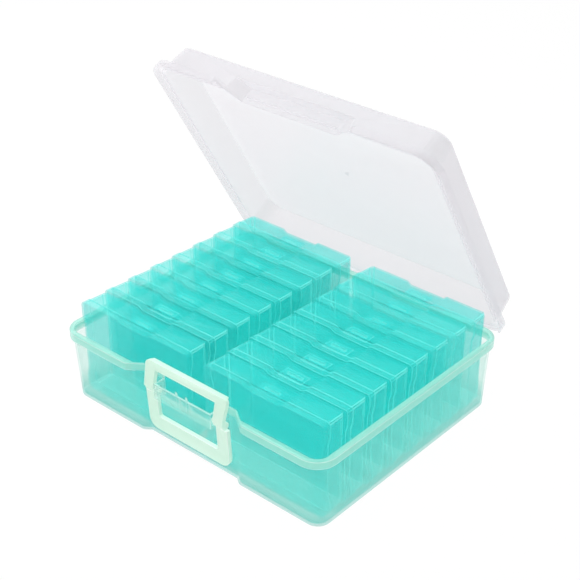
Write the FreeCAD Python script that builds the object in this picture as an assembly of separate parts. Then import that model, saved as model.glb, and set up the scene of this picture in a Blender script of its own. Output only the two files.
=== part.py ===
import FreeCAD, Part
import math
import os

# Photo storage box: a carry case with a hinged lid, a latch and a handle, holding two rows of photo cases.
# Millimetres. The origin is the middle of the tray's underside, X runs along the front, -Y is the front
# with the handle, and Z is up. The lid is drawn open and the latch leaning in.

V = FreeCAD.Vector
os.makedirs("parts", exist_ok=True)

# Tray
tray_height = 88.5
tray_wall = 2.0
tray_floor = 3.0
wall_lean = 4.5
end_lean = 2.4
corner_round = 25.0
bottom_bevel = 1.2
rim_overhang = 5.0
rim_skirt = 9.0
rim_plate = 2.2
skirt_wall = 1.8

# Recess in the tray's front, with the rail across it
recess_side_room = 4.3
recess_depth = 15.5
recess_flare_share = 1.4
shoulder_round = 8.0
recess_round = 4.0
cutout_seat = 1.0
cutout_drop = 7.0
rail_tuck = 2.0
rail_top = 80.5
rail_height = 19.0
rail_setback = 1.0
rail_wall = 2.0
rail_shelf = 9.5
rib_spacing = 14.8
rib_width = 3.0
rib_rise = 5.8

# Lid
lid_seat = 0.3
lid_wall = 1.8
lid_overhang = 6.0
lid_lean = 2.6
lid_band = 9.0
lid_skirt_drop = 4.0
lid_rim_spread = 3.0
lid_back_clear = 8.0
lid_round = 5.0
pocket_depth = 19.3
pocket_height = 19.0
pocket_wall = 1.4
ledge_end_room = 4.0
ledge_reach = 2.7
ledge_plate = 2.2
ledge_height = 5.8
lid_open_angle = 59.65

# Lid hinge: pins on the tray, clip lugs on the lid
hinge_spread = 190.0
hinge_width = 30.0
hinge_side_gap = 2.0
hinge_drop = 3.3
hinge_pin = 2.0
hinge_cheek = 2.0
hinge_lobe = 3.0
hinge_lug = 4.0
hinge_mouth = 3.2
hinge_pad = 2.0
pin_clearance = 0.3

# Latch frame, in its own upright frame about the pivot
pivot_setback = 8.0
pivot_height = 69.5
latch_lean = 13.0
latch_taper = 2.5
latch_window_half = 44.0
latch_front = 7.1
latch_plate = 5.0
latch_foot = 1.1
latch_top = 32.1
latch_bar = 8.5
latch_round = 5.0
lip_reach = 8.2
lip_tip = 2.0
lip_root = 4.0
pivot_pin = 2.2
hub_radius = 4.6
hub_width = 5.5

# Handle loop
handle_lean = 3.7
handle_arm = 7.5
handle_flank = 2.7
handle_window_half = 44.0
handle_front = 1.8
handle_plate = 5.0
handle_shoulder = 5.6
handle_bottom = 55.5
grip_height = 18.5
handle_round = 12.0
handle_inner_round = 3.0
knuckle_radius = 4.4
knuckle_gap = 0.8

# Photo cases
case_length = 165.0
case_height = 116.0
case_thick = 33.8
case_gap = 1.2
case_row_gap = 24.0
case_end_room = 13.0
case_front_room = 22.5
case_back_room = 13.7
case_head_room = 5.3
case_wall = 1.4
case_lid_depth = 9.4
case_seam = 0.2
case_lap = 1.0
case_lean = 1.1
case_round = 5.0
case_foot_cut = 4.0
case_back_cut = 4.0
facet_share = 2 - math.sqrt(2)
case_lift = 0.2
top_grip_half = 22.5
top_grip_depth = 3.5
top_grip_slope = 5.0
side_grip_half = 30.0
side_grip_depth = 2.5
side_grip_slope = 9.0
clasp_half = 15.5
clasp_length = 13.0
clasp_root = 3.0
clasp_plate = 1.3
clasp_slot_half = 10.0
clasp_slot_start = 5.0
clasp_slot_width = 3.2
clasp_clearance = 0.3
tab_height = 5.0
tab_width = 9.0
tab_reach = 6.0
tab_plate = 0.9
cases_per_row = 8

# How far a cutting solid runs past what it cuts
overrun = 5.0

# Sizes and places that follow: the cases set the tray's length and depth and the lid's height,
# and the handle's window sets the widths of the rail, latch, handle, recess and ledge
case_pitch = case_thick + case_gap
row_depth = case_pitch * cases_per_row - case_gap
half_length = case_row_gap / 2 + case_length + case_end_room
half_depth = (case_front_room + row_depth + case_back_room) / 2
case_front = half_depth - case_front_room
lid_bottom = tray_height + lid_seat
lid_height = tray_floor + case_lift + case_height + case_head_room + lid_wall - lid_bottom
hinge_y = half_depth
hinge_z = tray_height - hinge_drop
pivot_y = -half_depth + pivot_setback
rail_half = handle_window_half - rail_tuck
cutout_half = rail_half - cutout_seat
hub_inner = handle_window_half + handle_arm
latch_half_bottom = hub_inner + hub_width
latch_half_top = latch_half_bottom + latch_taper
handle_half = latch_half_bottom + handle_flank
recess_half = handle_half + recess_side_room
ledge_half = recess_half - ledge_end_room
rim_bottom = tray_height - rim_skirt
recess_y = recess_depth - half_depth
rail_bottom = rail_top - rail_height
cutout_bottom = rail_bottom - cutout_drop
band_bottom = lid_bottom - lid_skirt_drop


def plan(z):
    """Places a plan outline's points at height z."""
    return lambda x, y: V(x, y, z)


def front_view(y):
    """Places a front outline's points at depth y."""
    return lambda x, z: V(x, y, z)


def side_view(x):
    """Places a side outline's points at width x."""
    return lambda y, z: V(x, y, z)


def outline(corners, place):
    """A closed wire through corners (a, b, radius), rounded by tangent arcs."""
    points = [place(a, b) for a, b, _ in corners]
    edges = []
    starts = []
    ends = []
    for i, here in enumerate(points):
        radius = corners[i][2]
        back = (points[i - 1] - here).normalize()
        onward = (points[(i + 1) % len(points)] - here).normalize()
        half_angle = back.getAngle(onward) / 2
        starts.append(here + back * (radius / math.tan(half_angle)))
        ends.append(here + onward * (radius / math.tan(half_angle)))
        if radius:
            inward = (back + onward).normalize()
            middle = here + inward * (radius / math.sin(half_angle) - radius)
            edges.append(Part.Arc(starts[i], middle, ends[i]).toShape())
    for i, start in enumerate(starts):
        edges.append(Part.makeLine(ends[i - 1], start))
    return Part.Wire(Part.__sortEdges__(edges))


def prism(corners, place, way):
    """A straight solid over an outline."""
    return Part.Face(outline(corners, place)).extrude(way)


def drafted(low, high, low_place, high_place):
    """A solid with flat leaning sides between two outlines, its rising edges rounded by the low one's radii.

    Seen from the high end, both outlines run anticlockwise.
    """
    feet = [low_place(a, b) for a, b, _ in low]
    heads = [high_place(a, b) for a, b, _ in high]
    sides = [feet[::-1], heads]
    for i in range(len(feet)):
        sides.append([feet[i - 1], feet[i], heads[i], heads[i - 1]])
    faces = [Part.Face(Part.makePolygon(points + points[:1])) for points in sides]
    solid = Part.makeSolid(Part.makeShell(faces))
    radii = [radius for _, _, radius in low]
    for radius in sorted(set(radii) - {0}):
        middles = [(foot + head) * 0.5 for foot, head, r in zip(feet, heads, radii) if r == radius]
        solid = solid.makeFillet(radius, [edge_at(solid, middle) for middle in middles])
    return solid


def edge_at(solid, middle):
    """The straight edge whose middle is nearest to a point."""
    return min(solid.Edges, key=lambda edge: edge.CenterOfMass.distanceToPoint(middle))


def edges_between(solid, low, high):
    """The edges that lie between two heights."""
    return [edge for edge in solid.Edges if low < edge.BoundBox.ZMin and edge.BoundBox.ZMax < high]


def block(x0, x1, y0, y1, z0, z1):
    """A box between two corners."""
    return Part.makeBox(x1 - x0, y1 - y0, z1 - z0, V(x0, y0, z0))


def rod(radius, x0, x1, y, z):
    """A round bar along X."""
    return Part.makeCylinder(radius, x1 - x0, V(x0, y, z), V(1, 0, 0))


def both_sides(shape):
    """The shape with its mirror image across the middle."""
    return shape.fuse(shape.mirror(V(0, 0, 0), V(1, 0, 0)))


def flare_shift(thickness):
    """How much wider the recess is at its back once its walls move by a thickness."""
    return thickness * (math.hypot(1, recess_flare_share) - recess_flare_share)


def shell_corners(inset, end_inset, wall):
    """Plan corners of a rim or wall with the recess, inset from the rim's edge and moved in by a wall."""
    side = half_length - end_inset - wall
    front = half_depth - inset - wall
    back_y = recess_y + wall
    half_in = recess_half + flare_shift(wall)
    half_out = half_in + (front + back_y) * recess_flare_share
    corner = corner_round - inset - wall
    return [
        (-side, -front, corner),
        (-half_out, -front, shoulder_round - wall),
        (-half_in, back_y, recess_round + wall),
        (half_in, back_y, recess_round + wall),
        (half_out, -front, shoulder_round - wall),
        (side, -front, corner),
        (side, front, corner),
        (-side, front, corner),
    ]


def tray_body(wall, low, high):
    """The solid within the tray's leaning walls, moved in by a wall, between two heights."""
    ends = []
    for z in (low, high):
        lean_share = 1 - z / tray_height
        wall_inset = rim_overhang + wall_lean * lean_share
        end_inset = rim_overhang + end_lean * lean_share
        ends.append(shell_corners(wall_inset, end_inset, wall))
    return drafted(*ends, plan(low), plan(high))


def plain_corners(inset, corner):
    """Plan corners of a rounded rectangle, inset from the rim's edge."""
    side = half_length - inset
    front = half_depth - inset
    return [(-side, -front, corner), (side, -front, corner), (side, front, corner), (-side, front, corner)]


def hinge_stations():
    """The middles of the two hinges along X."""
    return (-hinge_spread / 2, hinge_spread / 2)


def make_tray():
    walls = tray_body(0, 0, tray_height)
    walls = walls.makeChamfer(bottom_bevel, edges_between(walls, -tray_wall, tray_wall))
    rim = prism(shell_corners(0, 0, 0), plan(rim_bottom), V(0, 0, rim_skirt))
    channel = prism(shell_corners(0, 0, skirt_wall), plan(rim_bottom), V(0, 0, rim_skirt - rim_plate))
    tray = walls.fuse(rim.cut(channel))
    tray = tray.cut(tray_body(tray_wall, tray_floor, tray_height + overrun))
    cutout_top = tray_height + overrun
    cutout_front = recess_y - overrun
    cutout_back = recess_y + overrun
    cutout = block(-cutout_half, cutout_half, cutout_front, cutout_back, cutout_bottom, cutout_top)
    tray = tray.cut(cutout).fuse(make_rail())
    for x in hinge_stations():
        tray = add_tray_hinge(tray, x)
    return tray.removeSplitter()


def make_rail():
    """The rail across the recess: a plate and a shelf with two ribs, and ends bored for the latch's pins."""
    front_y = rail_setback - half_depth
    shelf_y = front_y + rail_shelf
    inner_half = rail_half - rail_wall
    rail = block(-rail_half, rail_half, front_y, recess_y, rail_bottom, rail_top)
    plate_back = front_y + rail_wall
    shelf_top = rail_bottom + rail_wall
    rail = rail.cut(block(-inner_half, inner_half, plate_back, recess_y, shelf_top, rail_top))
    rail = rail.cut(block(-inner_half, inner_half, shelf_y, recess_y, rail_bottom, rail_top))
    rail = rail.cut(rod(pivot_pin + pin_clearance, -rail_half, rail_half, pivot_y, pivot_height))
    rib = [(front_y, rail_bottom, 0), (shelf_y, rail_bottom, 0), (front_y, rail_top + rib_rise, 0)]
    rib_x = (rib_spacing - rib_width) / 2
    return rail.fuse(both_sides(prism(rib, side_view(rib_x), V(rib_width, 0, 0))))


def add_tray_hinge(tray, x):
    """Notches the back rim at x and spans the notch with a pin between two cheeks."""
    reach = hinge_width / 2 + hinge_side_gap
    wall_y = half_depth - rim_overhang
    notch = block(x - reach, x + reach, wall_y, half_depth + overrun, rim_bottom, tray_height)
    tray = tray.cut(notch)
    for start in (x - reach - hinge_cheek, x + reach):
        cheek = block(start, start + hinge_cheek, wall_y - tray_wall, hinge_y, rim_bottom, tray_height)
        lobe = rod(hinge_lobe, start, start + hinge_cheek, hinge_y, hinge_z)
        tray = tray.fuse([cheek, lobe])
    return tray.fuse(rod(hinge_pin, x - reach - hinge_cheek, x + reach + hinge_cheek, hinge_y, hinge_z))


def lid_body(wall, low, high):
    """The solid within the lid's leaning walls, moved in by a wall, between two rises over its lower edge."""
    insets = [lid_overhang + lid_lean * rise / lid_height + wall for rise in (low, high)]
    feet, heads = [plain_corners(inset, corner_round - inset) for inset in insets]
    return drafted(feet, heads, plan(lid_bottom + low), plan(lid_bottom + high))


def pocket_corners(wall):
    """Plan corners of the pocket that the latch stands in, moved out by a wall."""
    back_y = pocket_depth - half_depth + wall
    half_in = recess_half + flare_shift(wall)
    front_y = -half_depth - overrun
    half_out = half_in + (back_y - front_y) * recess_flare_share
    return [(-half_in, back_y, 0), (-half_out, front_y, 0), (half_out, front_y, 0), (half_in, back_y, 0)]


def make_lid():
    """The lid, drawn closed and then swung open."""
    walls = lid_body(0, 0, lid_height)
    top_z = lid_bottom + lid_height
    walls = walls.makeFillet(lid_round, edges_between(walls, top_z - lid_wall, top_z + lid_wall))
    inside = lid_body(lid_wall, -overrun, lid_height - lid_wall)
    band_corners = plain_corners(-lid_rim_spread, corner_round + lid_rim_spread)
    band = prism(band_corners, plan(band_bottom), V(0, 0, lid_band))
    side = half_length + overrun
    back_y = half_depth - lid_back_clear
    band = band.cut(block(-side, side, back_y, half_depth + overrun, band_bottom, lid_bottom))
    channel_corners = plain_corners(skirt_wall - lid_rim_spread, corner_round + lid_rim_spread - skirt_wall)
    channel = prism(channel_corners, plan(band_bottom), V(0, 0, lid_band - rim_plate))
    full = walls.fuse(band)
    lid = walls.fuse(band.cut(channel)).cut(inside)
    pocket_up = V(0, 0, pocket_height + pocket_wall)
    lid = lid.fuse(prism(pocket_corners(pocket_wall), plan(lid_bottom), pocket_up).common(full))
    lid = lid.cut(prism(pocket_corners(0), plan(lid_bottom - overrun), V(0, 0, pocket_height + overrun)))
    ledge_y = pocket_depth - half_depth
    ledge_z = lid_bottom + ledge_height
    ledge_front = ledge_y - ledge_reach
    ledge_back = ledge_y + pocket_wall
    lid = lid.fuse(block(-ledge_half, ledge_half, ledge_front, ledge_back, ledge_z, ledge_z + ledge_plate))
    for x in hinge_stations():
        lid = add_lid_lug(lid, x)
    lid = lid.removeSplitter()
    lid.rotate(V(0, hinge_y, hinge_z), V(1, 0, 0), -lid_open_angle)
    return lid


def add_lid_lug(lid, x):
    """A clip lug under the lid's back rim that snaps over the tray's hinge pin."""
    x0 = x - hinge_width / 2
    x1 = x + hinge_width / 2
    lug = rod(hinge_lug, x0, x1, hinge_y, hinge_z)
    pad = block(x0, x1, hinge_y - skirt_wall, hinge_y + hinge_pad, hinge_z, band_bottom + lid_band)
    lug = lug.fuse(pad).cut(rod(hinge_pin + pin_clearance, x0, x1, hinge_y, hinge_z))
    mouth = hinge_mouth / 2
    lug = lug.cut(block(x0, x1, hinge_y - mouth, hinge_y + mouth, hinge_z - hinge_lug, hinge_z))
    return lid.fuse(lug)


def make_latch():
    """The latch frame, drawn upright about its pivot and then leaned in."""
    window_top = latch_top - latch_bar
    frame = [
        (-latch_half_bottom, latch_foot, 0),
        (-latch_window_half, latch_foot, 0),
        (-latch_window_half, window_top, 0),
        (latch_window_half, window_top, 0),
        (latch_window_half, latch_foot, 0),
        (latch_half_bottom, latch_foot, 0),
        (latch_half_top, latch_top, latch_round),
        (-latch_half_top, latch_top, latch_round),
    ]
    latch = prism(frame, front_view(-latch_front), V(0, latch_plate, 0))
    back = latch_plate - latch_front
    lip = [
        (-latch_front, latch_top, 0),
        (-latch_front, latch_top - lip_root, 0),
        (back, latch_top - lip_root, 0),
        (lip_reach - latch_front, latch_top - lip_tip, 0),
        (lip_reach - latch_front, latch_top, 0),
    ]
    lip_half = latch_half_top - latch_round
    latch = latch.fuse(prism(lip, side_view(-lip_half), V(lip_half * 2, 0, 0)))
    relief = knuckle_radius + knuckle_gap / 2
    room = both_sides(rod(relief, rail_half, hub_inner, 0, 0))
    latch = latch.cut(room)
    hubs = both_sides(rod(hub_radius, hub_inner, latch_half_bottom, 0, 0))
    pins = both_sides(rod(pivot_pin, rail_half - rail_wall * 2, latch_half_bottom, 0, 0))
    latch = latch.fuse([hubs, pins]).removeSplitter()
    latch.rotate(V(0, 0, 0), V(1, 0, 0), -latch_lean)
    latch.translate(V(0, pivot_y, pivot_height))
    return latch


def make_handle():
    """The handle loop, drawn hanging straight down from its pivot and then leaned in."""
    grip_top = grip_height - handle_bottom
    loop = [
        (-handle_half, -handle_shoulder, 0),
        (-handle_half, -handle_bottom, handle_round),
        (handle_half, -handle_bottom, handle_round),
        (handle_half, -handle_shoulder, 0),
        (handle_window_half, -handle_shoulder, 0),
        (handle_window_half, grip_top, handle_inner_round),
        (-handle_window_half, grip_top, handle_inner_round),
        (-handle_window_half, -handle_shoulder, 0),
    ]
    handle = prism(loop, front_view(-handle_front), V(0, handle_plate, 0))
    x0 = rail_half + knuckle_gap
    x1 = hub_inner - knuckle_gap
    knuckle = rod(knuckle_radius, x0, x1, 0, 0)
    arm = block(handle_window_half, x1, -handle_front, handle_plate - handle_front, -handle_shoulder * 2, 0)
    handle = handle.fuse([both_sides(knuckle), both_sides(arm)])
    handle = handle.cut(rod(pivot_pin + pin_clearance, -x1, x1, 0, 0)).removeSplitter()
    handle.rotate(V(0, 0, 0), V(1, 0, 0), handle_lean)
    handle.translate(V(0, pivot_y, pivot_height))
    return handle


def case_corners(inset, rounded):
    """The case's outline: a rectangle with a grip in its top and in each short side.

    The upper corners are rounded on the lid and cut across elsewhere, and the lower ones are cut across.
    """
    half = case_length / 2 - inset
    low = inset
    high = case_height - inset
    middle = case_height / 2
    top_out = top_grip_half + top_grip_slope
    side_out = side_grip_half + side_grip_slope
    foot = case_foot_cut - inset * facet_share
    shoulder = (case_round - inset) * facet_share
    round_corner = [(half, high, case_round - inset)]
    cut_corner = [(half, high - shoulder, 0), (half - shoulder, high, 0)]
    right = [
        (half - foot, low, 0),
        (half, low + foot, 0),
        (half, middle - side_out, 0),
        (half - side_grip_depth, middle - side_grip_half, 0),
        (half - side_grip_depth, middle + side_grip_half, 0),
        (half, middle + side_out, 0),
        *(round_corner if rounded else cut_corner),
        (top_out, high, 0),
        (top_grip_half, high - top_grip_depth, 0),
    ]
    left = [(-x, z, r) for x, z, r in right]
    return left + right[::-1]


def case_body(near_inset, far_inset, near, far, rounded=False):
    """The solid within a case's outline between two depths."""
    ends = [case_corners(inset, rounded) for inset in (near_inset, far_inset)]
    return drafted(*ends, front_view(near), front_view(far))


def back_wedges(half, far, leg):
    """Wedges that cut a case's upright back corners across."""
    corners = [
        (half - leg - overrun, far + overrun, 0),
        (half + overrun, far - leg - overrun, 0),
        (half + overrun, far + overrun, 0),
    ]
    return both_sides(prism(corners, plan(-overrun), V(0, 0, case_height + overrun * 2)))


def make_case_base():
    """The deep half of a photo case, open towards its lid, with the nib that its clasp snaps over."""
    seam = case_lid_depth + case_seam
    far = case_lap + case_lean
    half = case_length / 2 - far
    base = case_body(case_lap, far, seam, case_thick).cut(back_wedges(half, case_thick, case_back_cut))
    hollow = case_body(case_lap + case_wall, far + case_wall, seam, case_thick - case_wall)
    hollow_cut = case_back_cut - case_wall * facet_share
    base = base.cut(hollow.cut(back_wedges(half - case_wall, case_thick - case_wall, hollow_cut)))
    grip_z = case_height - case_lap - top_grip_depth
    nib_y = case_lid_depth + clasp_slot_start + clasp_clearance
    nib_half = clasp_slot_half - clasp_clearance
    nib_deep = clasp_slot_width - clasp_clearance * 2
    nib = block(-nib_half, nib_half, nib_y, nib_y + nib_deep, grip_z - case_wall, grip_z + clasp_plate)
    return base.fuse(nib).removeSplitter()


def make_case_lid():
    """The shallow half of a photo case, with its clasp and the two tabs that it hinges by."""
    lid = case_body(0, 0, 0, case_lid_depth, True)
    lid = lid.cut(case_body(case_wall, case_wall, case_wall, case_lid_depth))
    flap_z = case_height - case_lap - top_grip_depth + clasp_clearance
    flap_top = flap_z + clasp_plate
    flap_y = case_lid_depth - clasp_root
    flap = block(-clasp_half, clasp_half, flap_y, case_lid_depth + clasp_length, flap_z, flap_top)
    slot_y = case_lid_depth + clasp_slot_start
    slot_end = slot_y + clasp_slot_width
    flap = flap.cut(block(-clasp_slot_half, clasp_slot_half, slot_y, slot_end, flap_z, flap_top))
    half = case_length / 2
    tab_end = case_lid_depth + tab_reach
    tab = block(half - tab_plate, half, flap_y, tab_end, tab_height, tab_height + tab_width)
    return lid.fuse([flap, both_sides(tab)]).removeSplitter()


def case_places():
    """Each case's name and the place of its front foot, row by row from the front."""
    row_x = (case_row_gap + case_length) / 2
    places = []
    for row, x in (("left", -row_x), ("right", row_x)):
        for i in range(cases_per_row):
            place = V(x, i * case_pitch - case_front, tray_floor + case_lift)
            places.append((f"case_{row}_{i + 1}", place))
    return places


nodes = {
    "tray": make_tray(),
    "lid": make_lid(),
    "latch_frame": make_latch(),
    "handle_loop": make_handle(),
}
case_base = make_case_base()
case_lid = make_case_lid()
for name, place in case_places():
    nodes[name + "_base"] = case_base.translated(place)
    nodes[name + "_lid"] = case_lid.translated(place)

for name, shape in nodes.items():
    shape.exportStep(f"parts/{name}.step")
    print(name, shape.isValid(), len(shape.Solids), round(shape.Volume))
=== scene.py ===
import math

import bpy
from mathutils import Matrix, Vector

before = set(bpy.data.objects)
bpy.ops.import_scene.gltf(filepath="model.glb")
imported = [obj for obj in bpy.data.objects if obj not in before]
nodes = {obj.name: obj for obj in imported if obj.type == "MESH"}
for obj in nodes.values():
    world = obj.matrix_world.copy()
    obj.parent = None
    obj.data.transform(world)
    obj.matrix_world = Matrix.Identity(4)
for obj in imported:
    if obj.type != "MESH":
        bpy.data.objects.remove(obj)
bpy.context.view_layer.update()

# Photo storage box: looks for the tray, lid, latch, handle and photo cases. Metres, in the part's own frame.
MM = 0.001
case_nodes = [name for name in nodes if name.startswith("case_")]

# Camera, from the photograph's straight edges
camera_place = Vector((0.8298, -0.9300, 0.8901))
camera_aim = Vector((-0.5657, 0.6445, -0.5144))
camera_lens = 82.56

# The plastics' grain: noise scales for clouds, streaks and the moulded skin
cloud_scale = 14
streak_scale = 55
skin_scale = 900

# The plastics' skin and gloss, and how narrowly a face covers more when seen along its length
skin_depth = 0.04 * MM
skin_strength = 0.25
plastic_ior = 1.49
slant_blend = 0.1

# Modifiers that round the sharp edges
weld_reach = 0.002 * MM
flat_angle = math.radians(0.4)
sharp_angle = math.radians(35)
edge_segments = 2

# Light, and how much of the floor's shadow the white hides
sky_light = 0.78
floor_whiten = 0.93
floor_reach = 4
paper_roughness = 0.9

# The shaded paper under the tray: half its plain length and width, and where its soft border starts and ends
shade_half = (0.146, 0.102, 0)
shade_border = (26 * MM, 36 * MM)

# Colours, in linear light
teal = (0.045, 0.760, 0.715, 1)
teal_deep = (0.028, 0.700, 0.675, 1)
# Painted light: a lighter teal for the cases' tops
teal_painted_top_light = (0.085, 0.815, 0.765, 1)
# Painted highlights: lighter teals for the cases' rounded edges
teal_edge_highlight = (0.150, 0.880, 0.820, 1)
teal_pale_highlight = (0.260, 0.930, 0.870, 1)
# Painted shade: a darker teal for the tray's foot
teal_painted_foot_shade = (0.105, 0.620, 0.545, 1)
mint = (0.365, 0.825, 0.700, 1)
mint_pale = (0.500, 0.870, 0.760, 1)
frost = (0.905, 0.858, 0.903, 1)
frost_pale = (0.925, 0.882, 0.923, 1)
# Painted shade: a dimmer, less green frost for the lid's panel
frost_painted_shade = (0.880, 0.815, 0.865, 1)
slate = (0.520, 0.530, 0.570, 1)
# Painted highlights: near-white for the tray's and handle's rounded edges
snow_highlight = (0.920, 0.940, 0.940, 1)
snow_pale_highlight = (0.985, 0.985, 0.985, 1)
# Painted shadow: teal for the paper under the tray
shade_paper = (0.055, 0.500, 0.455, 1)
pale_paper = (0.900, 0.900, 0.900, 1)
milk = (0.630, 0.930, 0.740, 1)
milk_pale = (0.790, 0.970, 0.850, 1)


def link(tree, out, into):
    tree.links.new(out, into)


def new_node(tree, kind, **settings):
    node = tree.nodes.new(kind)
    for name, value in settings.items():
        setattr(node, name, value)
    return node


def moulded_group():
    """Cloudy tint, satin patches and a fine moulded skin for the plastics."""
    group = bpy.data.node_groups.new("moulded_plastic", "ShaderNodeTree")
    face = group.interface
    for name, kind in (
        ("Tint A", "NodeSocketColor"),
        ("Tint B", "NodeSocketColor"),
        ("Body", "NodeSocketFloat"),
        ("Body Swing", "NodeSocketFloat"),
        ("Gloss", "NodeSocketFloat"),
        ("Gloss Swing", "NodeSocketFloat"),
    ):
        face.new_socket(name, in_out="INPUT", socket_type=kind)
    for name, kind in (
        ("Tint", "NodeSocketColor"),
        ("Cover", "NodeSocketFloat"),
        ("Roughness", "NodeSocketFloat"),
        ("Skin", "NodeSocketFloat"),
    ):
        face.new_socket(name, in_out="OUTPUT", socket_type=kind)
    given = new_node(group, "NodeGroupInput")
    made = new_node(group, "NodeGroupOutput")
    place = new_node(group, "ShaderNodeTexCoord")

    cloud = new_node(group, "ShaderNodeTexNoise")
    cloud.inputs["Scale"].default_value = cloud_scale
    cloud.inputs["Detail"].default_value = 3
    link(group, place.outputs["Object"], cloud.inputs["Vector"])
    tint = new_node(group, "ShaderNodeMix", data_type="RGBA")
    link(group, cloud.outputs["Fac"], tint.inputs["Factor"])
    link(group, given.outputs["Tint A"], tint.inputs["A"])
    link(group, given.outputs["Tint B"], tint.inputs["B"])
    link(group, tint.outputs["Result"], made.inputs["Tint"])

    streak = new_node(group, "ShaderNodeTexNoise")
    streak.inputs["Scale"].default_value = streak_scale
    streak.inputs["Detail"].default_value = 2
    link(group, place.outputs["Object"], streak.inputs["Vector"])
    for noise, base, swing, out in (
        (cloud, "Body", "Body Swing", "Cover"),
        (streak, "Gloss", "Gloss Swing", "Roughness"),
    ):
        centred = new_node(group, "ShaderNodeMath", operation="SUBTRACT")
        centred.inputs[1].default_value = 0.5
        link(group, noise.outputs["Fac"], centred.inputs[0])
        swung = new_node(group, "ShaderNodeMath", operation="MULTIPLY_ADD")
        link(group, centred.outputs[0], swung.inputs[0])
        link(group, given.outputs[swing], swung.inputs[1])
        link(group, given.outputs[base], swung.inputs[2])
        link(group, swung.outputs[0], made.inputs[out])

    skin = new_node(group, "ShaderNodeTexNoise")
    skin.inputs["Scale"].default_value = skin_scale
    skin.inputs["Detail"].default_value = 2
    link(group, place.outputs["Object"], skin.inputs["Vector"])
    link(group, skin.outputs["Fac"], made.inputs["Skin"])
    return group


def zone_group():
    """1 inside a box in the piece's own frame and 0 outside it, over a soft border."""
    group = bpy.data.node_groups.new("zone", "ShaderNodeTree")
    for name in ("From", "To", "Soft"):
        group.interface.new_socket(name, in_out="INPUT", socket_type="NodeSocketVector")
    group.interface.new_socket("Mask", in_out="OUTPUT", socket_type="NodeSocketFloat")
    given = new_node(group, "NodeGroupInput")
    made = new_node(group, "NodeGroupOutput")
    place = new_node(group, "ShaderNodeTexCoord").outputs["Object"]
    inside = None
    for more, less in ((place, given.outputs["From"]), (given.outputs["To"], place)):
        depth = new_node(group, "ShaderNodeVectorMath", operation="SUBTRACT")
        link(group, more, depth.inputs[0])
        link(group, less, depth.inputs[1])
        soft = new_node(group, "ShaderNodeVectorMath", operation="DIVIDE")
        link(group, depth.outputs[0], soft.inputs[0])
        link(group, given.outputs["Soft"], soft.inputs[1])
        split = new_node(group, "ShaderNodeSeparateXYZ")
        link(group, soft.outputs[0], split.inputs[0])
        for axis in "XYZ":
            least = new_node(group, "ShaderNodeMath", operation="MINIMUM")
            least.inputs[1].default_value = 1
            link(group, split.outputs[axis], least.inputs[0])
            if inside:
                link(group, inside, least.inputs[1])
            inside = least.outputs[0]
    shown = new_node(group, "ShaderNodeMath", operation="MAXIMUM")
    shown.inputs[1].default_value = 0
    link(group, inside, shown.inputs[0])
    link(group, shown.outputs[0], made.inputs["Mask"])
    return group


moulded = moulded_group()
zone = zone_group()


def lit_through(tree):
    """1 for the rays that carry light to other surfaces, and 0 for those that see this one."""
    path = new_node(tree, "ShaderNodeLightPath")
    either = new_node(tree, "ShaderNodeMath", operation="MAXIMUM")
    link(tree, path.outputs["Is Shadow Ray"], either.inputs[0])
    link(tree, path.outputs["Is Diffuse Ray"], either.inputs[1])
    return either.outputs[0]


def add_share(tree, value, share, base):
    """base with a share of value added."""
    total = new_node(tree, "ShaderNodeMath", operation="MULTIPLY_ADD", use_clamp=True)
    total.inputs[1].default_value = share
    link(tree, value, total.inputs[0])
    link(tree, base, total.inputs[2])
    return total.outputs[0]


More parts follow.
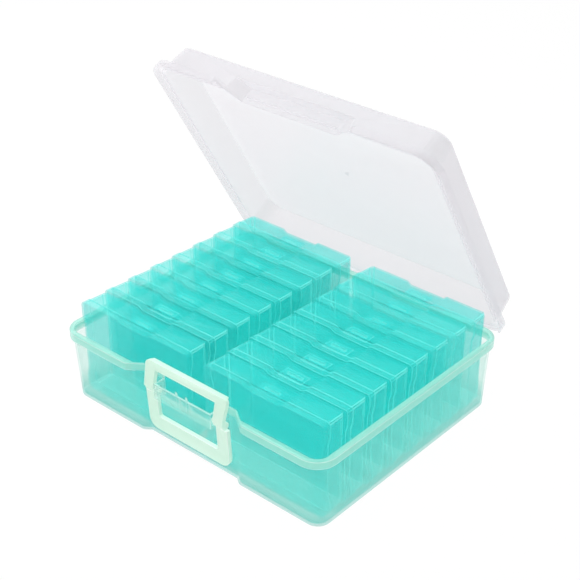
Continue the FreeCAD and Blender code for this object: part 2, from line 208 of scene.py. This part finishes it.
def plastic(name, tints, body, gloss, dye, dye_share, glow, veil=0, slant=0, zones=()):
    """A see-through moulded plastic.

    body is how much each face covers and gloss its roughness, both with their swing. dye_share is the share
    of a face that only colours what is seen through it, with dye, and glow colours the light that passes
    through to other faces. veil is the share of the body that is lit from behind, and slant how much more a
    face covers when it is seen along its length. A zone is a box: from, to, soft border, more cover and tint.
    """
    material = bpy.data.materials.new(name)
    material.use_nodes = True
    tree = material.node_tree
    shader = tree.nodes["Principled BSDF"]
    group = new_node(tree, "ShaderNodeGroup", node_tree=moulded)
    for socket, value in (
        ("Tint A", tints[0]),
        ("Tint B", tints[1]),
        ("Body", body[0]),
        ("Body Swing", body[1]),
        ("Gloss", gloss[0]),
        ("Gloss Swing", gloss[1]),
    ):
        group.inputs[socket].default_value = value
    tint = group.outputs["Tint"]
    cover = group.outputs["Cover"]
    for low, high, soft, more, colour in zones:
        mask = new_node(tree, "ShaderNodeGroup", node_tree=zone)
        mask.inputs["From"].default_value = low
        mask.inputs["To"].default_value = high
        mask.inputs["Soft"].default_value = (soft, soft, soft)
        cover = add_share(tree, mask.outputs["Mask"], more, cover)
        mixed = new_node(tree, "ShaderNodeMix", data_type="RGBA")
        mixed.inputs["B"].default_value = colour
        link(tree, mask.outputs["Mask"], mixed.inputs["Factor"])
        link(tree, tint, mixed.inputs["A"])
        tint = mixed.outputs["Result"]
    link(tree, tint, shader.inputs["Base Color"])
    if slant:
        turned = new_node(tree, "ShaderNodeLayerWeight")
        turned.inputs["Blend"].default_value = slant_blend
        cover = add_share(tree, turned.outputs["Facing"], slant, cover)
    link(tree, cover, shader.inputs["Alpha"])
    link(tree, group.outputs["Roughness"], shader.inputs["Roughness"])
    bump = new_node(tree, "ShaderNodeBump")
    bump.inputs["Strength"].default_value = skin_strength
    bump.inputs["Distance"].default_value = skin_depth
    link(tree, group.outputs["Skin"], bump.inputs["Height"])
    link(tree, bump.outputs["Normal"], shader.inputs["Normal"])
    shader.inputs["IOR"].default_value = plastic_ior
    behind = new_node(tree, "ShaderNodeBsdfTranslucent")
    behind.inputs["Color"].default_value = tints[0]
    thin = new_node(tree, "ShaderNodeMixShader")
    thin.inputs["Fac"].default_value = body[0]
    link(tree, new_node(tree, "ShaderNodeBsdfTransparent").outputs[0], thin.inputs[1])
    link(tree, behind.outputs[0], thin.inputs[2])
    both = new_node(tree, "ShaderNodeMixShader")
    both.inputs["Fac"].default_value = veil
    link(tree, shader.outputs[0], both.inputs[1])
    link(tree, thin.outputs[0], both.inputs[2])
    clear = new_node(tree, "ShaderNodeBsdfTransparent")
    clear.inputs["Color"].default_value = dye
    dyed = new_node(tree, "ShaderNodeMixShader")
    dyed.inputs["Fac"].default_value = dye_share
    link(tree, both.outputs[0], dyed.inputs[1])
    link(tree, clear.outputs[0], dyed.inputs[2])
    passing = new_node(tree, "ShaderNodeBsdfTransparent")
    passing.inputs["Color"].default_value = glow
    lit = new_node(tree, "ShaderNodeMixShader")
    link(tree, lit_through(tree), lit.inputs["Fac"])
    link(tree, dyed.outputs[0], lit.inputs[1])
    link(tree, passing.outputs[0], lit.inputs[2])
    link(tree, lit.outputs[0], tree.nodes["Material Output"].inputs["Surface"])
    return material


def soften(name, width, clamp=True):
    """Joins a node's flat triangles and rounds its sharp edges, which take the second material.

    The tray's short edges would clamp the width to nothing, so there it is unclamped and measured along edges.
    """
    node = nodes[name]
    weld = node.modifiers.new("weld", "WELD")
    weld.merge_threshold = weld_reach
    join = node.modifiers.new("join", "DECIMATE")
    join.decimate_type = "DISSOLVE"
    join.angle_limit = flat_angle
    edge = node.modifiers.new("edge", "BEVEL")
    edge.width = width
    edge.segments = edge_segments
    edge.limit_method = "ANGLE"
    edge.angle_limit = sharp_angle
    edge.miter_outer = "MITER_ARC"
    edge.use_clamp_overlap = clamp
    edge.offset_type = "OFFSET" if clamp else "ABSOLUTE"
    edge.harden_normals = True
    edge.material = 1


def dress(name, *materials):
    node = nodes[name]
    node.data.materials.clear()
    for material in materials:
        node.data.materials.append(material)
    for face in node.data.polygons:
        face.use_smooth = True


# Finishes: roughness and its swing, what is seen through each plastic, and the light that it lets through
satin = (0.24, 0.12)
smooth = (0.34, 0.12)
clear = (1, 1, 1, 1)
case_dye = (0.78, 0.987, 0.972, 1)
tray_dye = (0.93, 0.99, 0.98, 1)
lid_dye = (0.98, 0.98, 0.99, 1)
case_glow = (0.965, 0.995, 0.993, 1)
tray_glow = (0.985, 0.997, 0.995, 1)
lid_glow = (0.985, 0.985, 0.990, 1)

# Zones, as boxes in the part's own frame: from, to, soft border, more cover, tint
rim_zone = ((-1, -1, 0.0792), (1, 1, 1), 0.5 * MM, 0.62, mint)
rail_zone = ((-0.0425, -0.1572, 0.0605), (0.0425, -0.1405, 0.0865), 0.5 * MM, 0.10, mint_pale)
# Painted shade: the tray grows denser and tealer towards its foot
painted_foot_shade_zone = ((-1, -1, -1), (1, 1, 0.030), 22 * MM, 0.37, teal_painted_foot_shade)
# Painted shade: the lid's panel takes a dimmer, less green tint than its walls
panel_painted_shade_zone = ((-0.176, -1, 0.115), (0.176, 1, 0.305), 12 * MM, 0.05, frost_painted_shade)
gate_mark = ((-0.0030, 0.1081, 0.2393), (0.0030, 0.1141, 0.2453), 1.5 * MM, 0.35, slate)
# Painted light: the cases' faces above this height take the lighter teal
painted_top_light_zone = ((-1, -1, 0.1176), (1, 1, 1), 0.5 * MM, 0.02, teal_painted_top_light)
tray_zones = (rim_zone, rail_zone, painted_foot_shade_zone)
lid_zones = (panel_painted_shade_zone, gate_mark)

case_plastic = plastic(
    "case_plastic",
    (teal, teal_deep),
    body=(0.26, 0.05),
    gloss=satin,
    dye=case_dye,
    dye_share=0.35,
    glow=case_glow,
    slant=0.5,
    zones=(painted_top_light_zone,),
)
# Painted highlight along the cases' rounded edges: a lighter, more covering teal
case_edge_highlight = plastic(
    "case_edge_highlight",
    (teal_edge_highlight, teal_pale_highlight),
    body=(0.53, 0.05),
    gloss=satin,
    dye=case_dye,
    dye_share=0.1,
    glow=case_glow,
    slant=0.5,
)
tray_plastic = plastic(
    "tray_plastic",
    (mint, mint_pale),
    body=(0.11, 0.04),
    gloss=satin,
    dye=tray_dye,
    dye_share=0.2,
    glow=tray_glow,
    veil=0.2,
    slant=0.7,
    zones=tray_zones,
)
# Painted highlight along the tray's rounded edges: pale mint and near-white, densely covering
tray_edge_highlight = plastic(
    "tray_edge_highlight",
    (mint_pale, snow_highlight),
    body=(0.68, 0.06),
    gloss=satin,
    dye=tray_dye,
    dye_share=0.1,
    glow=tray_glow,
)
lid_plastic = plastic(
    "lid_plastic",
    (frost, frost_pale),
    body=(0.42, 0.05),
    gloss=smooth,
    dye=lid_dye,
    dye_share=0.1,
    glow=lid_glow,
    veil=0.4,
    zones=lid_zones,
)
lid_edge = plastic(
    "lid_edge",
    (frost, frost_pale),
    body=(0.44, 0.05),
    gloss=smooth,
    dye=clear,
    dye_share=0.1,
    glow=lid_glow,
    veil=0.4,
)
handle_plastic = plastic(
    "handle_plastic",
    (milk, milk_pale),
    body=(0.92, 0.06),
    gloss=smooth,
    dye=clear,
    dye_share=0.02,
    glow=tray_glow,
    veil=0.05,
)
# Painted highlight along the latch's and handle's rounded edges: near-white
handle_edge_highlight = plastic(
    "handle_edge_highlight",
    (snow_highlight, snow_pale_highlight),
    body=(0.94, 0.05),
    gloss=smooth,
    dye=clear,
    dye_share=0.02,
    glow=tray_glow,
    veil=0.05,
)

for name, materials, width in (
    ("tray", (tray_plastic, tray_edge_highlight), 0.6 * MM),
    ("lid", (lid_plastic, lid_edge), 0.6 * MM),
    ("latch_frame", (handle_plastic, handle_edge_highlight), 0.9 * MM),
    ("handle_loop", (handle_plastic, handle_edge_highlight), 1.2 * MM),
):
    dress(name, *materials)
    soften(name, width, name != "tray")
for name in case_nodes:
    dress(name, case_plastic, case_edge_highlight)
    soften(name, 0.6 * MM)


def make_camera():
    data = bpy.data.cameras.new("camera")
    data.lens = camera_lens
    data.sensor_width = 36
    data.clip_end = 20
    camera = bpy.data.objects.new("camera", data)
    camera.location = camera_place
    camera.rotation_mode = "QUATERNION"
    camera.rotation_quaternion = camera_aim.to_track_quat("-Z", "Y")
    bpy.context.collection.objects.link(camera)
    bpy.context.scene.camera = camera


def seen_straight(tree):
    """1 for what the camera sees directly, in gloss or through the plastic, and 0 for light on the object."""
    path = new_node(tree, "ShaderNodeLightPath")
    most = path.outputs["Is Camera Ray"]
    for way in ("Is Glossy Ray", "Is Transmission Ray"):
        larger = new_node(tree, "ShaderNodeMath", operation="MAXIMUM")
        link(tree, most, larger.inputs[0])
        link(tree, path.outputs[way], larger.inputs[1])
        most = larger.outputs[0]
    return most


def make_world():
    world = bpy.data.worlds.new("studio")
    bpy.context.scene.world = world
    world.use_nodes = True
    tree = world.node_tree
    sky = tree.nodes["Background"]
    sky.inputs["Color"].default_value = (1, 1, 1, 1)
    sky.inputs["Strength"].default_value = sky_light
    white = new_node(tree, "ShaderNodeBackground")
    white.inputs["Color"].default_value = (1, 1, 1, 1)
    mix = new_node(tree, "ShaderNodeMixShader")
    link(tree, seen_straight(tree), mix.inputs["Fac"])
    link(tree, sky.outputs[0], mix.inputs[1])
    link(tree, white.outputs[0], mix.inputs[2])
    link(tree, mix.outputs[0], tree.nodes["World Output"].inputs["Surface"])


def away_from_box(tree):
    """0 on the floor under the tray and 1 around it, over a narrow border."""
    place = new_node(tree, "ShaderNodeTexCoord")
    size = new_node(tree, "ShaderNodeVectorMath", operation="ABSOLUTE")
    link(tree, place.outputs["Object"], size.inputs[0])
    past = new_node(tree, "ShaderNodeVectorMath", operation="SUBTRACT")
    past.inputs[1].default_value = shade_half
    link(tree, size.outputs[0], past.inputs[0])
    outer = new_node(tree, "ShaderNodeVectorMath", operation="MAXIMUM")
    link(tree, past.outputs[0], outer.inputs[0])
    reach = new_node(tree, "ShaderNodeVectorMath", operation="LENGTH")
    link(tree, outer.outputs[0], reach.inputs[0])
    border = new_node(tree, "ShaderNodeMapRange", interpolation_type="SMOOTHSTEP")
    border.inputs["From Min"].default_value = shade_border[0]
    border.inputs["From Max"].default_value = shade_border[1]
    link(tree, reach.outputs["Value"], border.inputs["Value"])
    return border.outputs["Result"]


def make_floor():
    """A pale floor, white where the camera looks past the box, that keeps part of the box's shadow and has a
    painted teal shadow under the tray.
    """
    mesh = bpy.data.meshes.new("floor")
    corners = [(x * floor_reach, y * floor_reach, 0) for x, y in ((-1, -1), (1, -1), (1, 1), (-1, 1))]
    mesh.from_pydata(corners, [], [(0, 1, 2, 3)])
    floor = bpy.data.objects.new("floor", mesh)
    bpy.context.collection.objects.link(floor)
    material = bpy.data.materials.new("floor_paper")
    material.use_nodes = True
    tree = material.node_tree
    shader = tree.nodes["Principled BSDF"]
    shader.inputs["Roughness"].default_value = paper_roughness
    away = away_from_box(tree)
    # Painted teal shadow on the paper under the tray, fading to the pale paper around it
    paper = new_node(tree, "ShaderNodeMix", data_type="RGBA")
    paper.inputs["A"].default_value = shade_paper
    paper.inputs["B"].default_value = pale_paper
    link(tree, away, paper.inputs["Factor"])
    link(tree, paper.outputs["Result"], shader.inputs["Base Color"])
    white = new_node(tree, "ShaderNodeEmission")
    share = new_node(tree, "ShaderNodeMath", operation="MULTIPLY")
    share.inputs[1].default_value = floor_whiten
    link(tree, seen_straight(tree), share.inputs[0])
    around = new_node(tree, "ShaderNodeMath", operation="MULTIPLY")
    link(tree, share.outputs[0], around.inputs[0])
    link(tree, away, around.inputs[1])
    mix = new_node(tree, "ShaderNodeMixShader")
    link(tree, around.outputs[0], mix.inputs["Fac"])
    link(tree, shader.outputs[0], mix.inputs[1])
    link(tree, white.outputs[0], mix.inputs[2])
    link(tree, mix.outputs[0], tree.nodes["Material Output"].inputs["Surface"])
    mesh.materials.append(material)


def make_lamp(name, place, size, power):
    data = bpy.data.lights.new(name, "AREA")
    data.shape = "SQUARE"
    data.size = size
    data.energy = power
    lamp = bpy.data.objects.new(name, data)
    lamp.location = place
    lamp.rotation_mode = "QUATERNION"
    lamp.rotation_quaternion = (Vector((0, 0, 0.1)) - Vector(place)).to_track_quat("-Z", "Y")
    bpy.context.collection.objects.link(lamp)


make_camera()
make_world()
make_floor()
make_lamp("key_lamp", (-0.5, 0.0, 2.2), 1.6, 25)
make_lamp("fill_lamp", (-1.6, 0.3, 1.3), 1.2, 3)

scene = bpy.context.scene
scene.view_settings.view_transform = "Standard"
scene.cycles.transparent_max_bounces = 128
